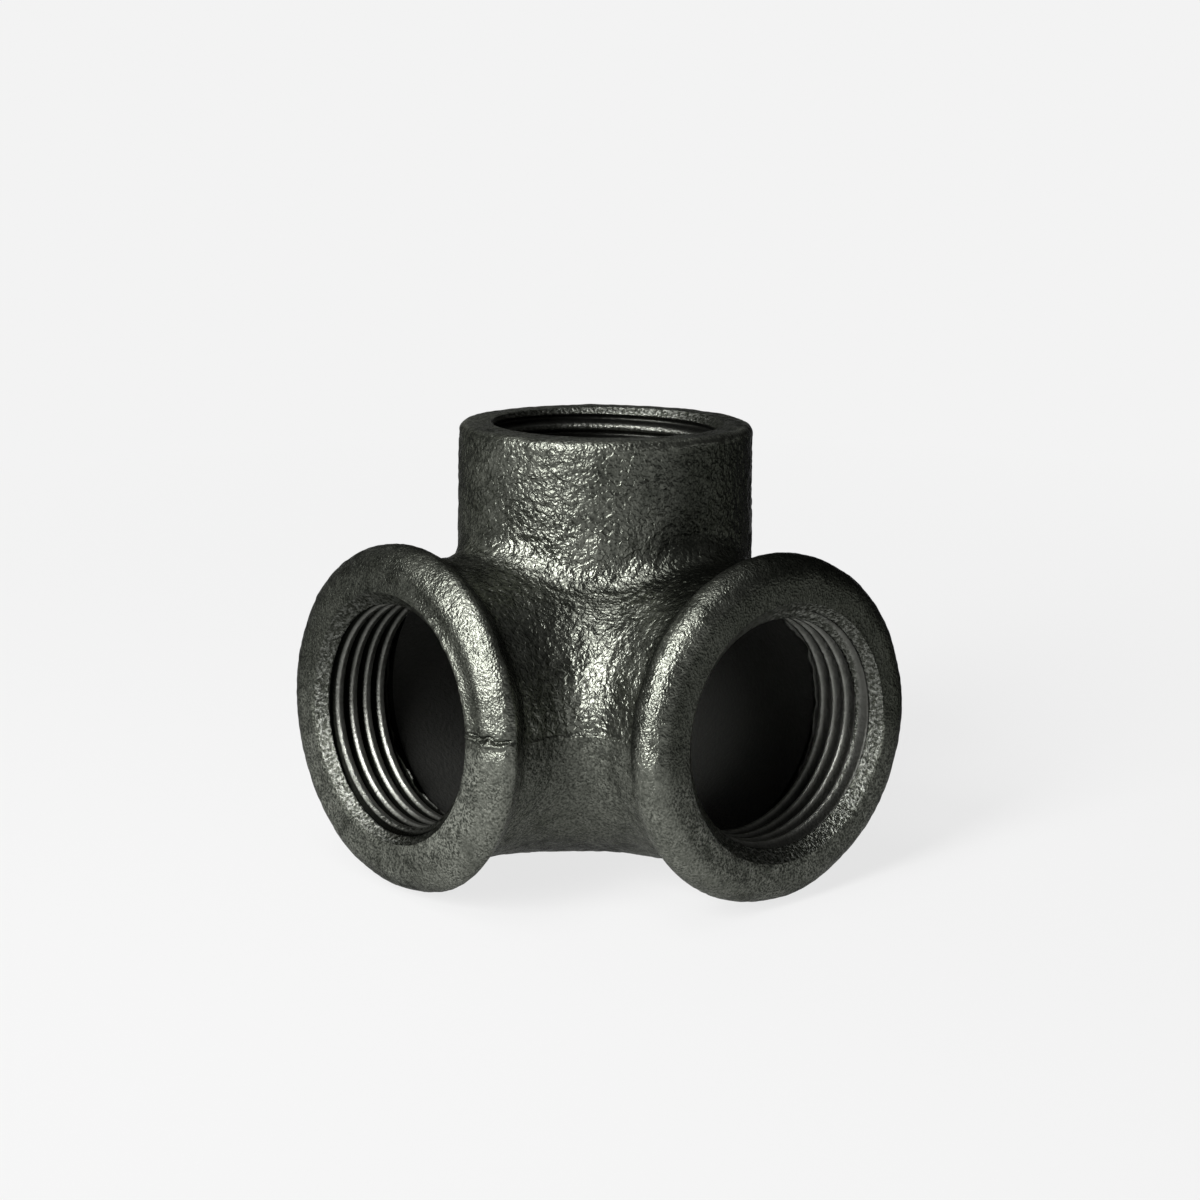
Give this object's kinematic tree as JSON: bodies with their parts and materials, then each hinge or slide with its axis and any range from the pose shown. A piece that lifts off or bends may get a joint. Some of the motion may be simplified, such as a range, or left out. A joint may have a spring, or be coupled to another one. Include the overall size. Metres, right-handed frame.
{
  "type": "corner pipe fitting",
  "caption": "Cast iron corner fitting for threaded tube: beaded level sockets at a right angle to each other, and a plain upright collar.",
  "frame": {"origin": "the point where the axes of the threaded mouths cross", "axes": "+Z out of the plain collar, +X out of one beaded socket, -Y out of the other"},
  "size_m": [0.0615, 0.0615, 0.0608],
  "materials": {
    "casting": "black malleable iron with a rough as-cast skin, oiled to a satin gloss",
    "machined": "thread and chamfer cut after casting, left bare and lightly oiled"
  },
  "bodies": {
    "root": {"corner_fitting": "casting"}
  },
  "joints": []
}
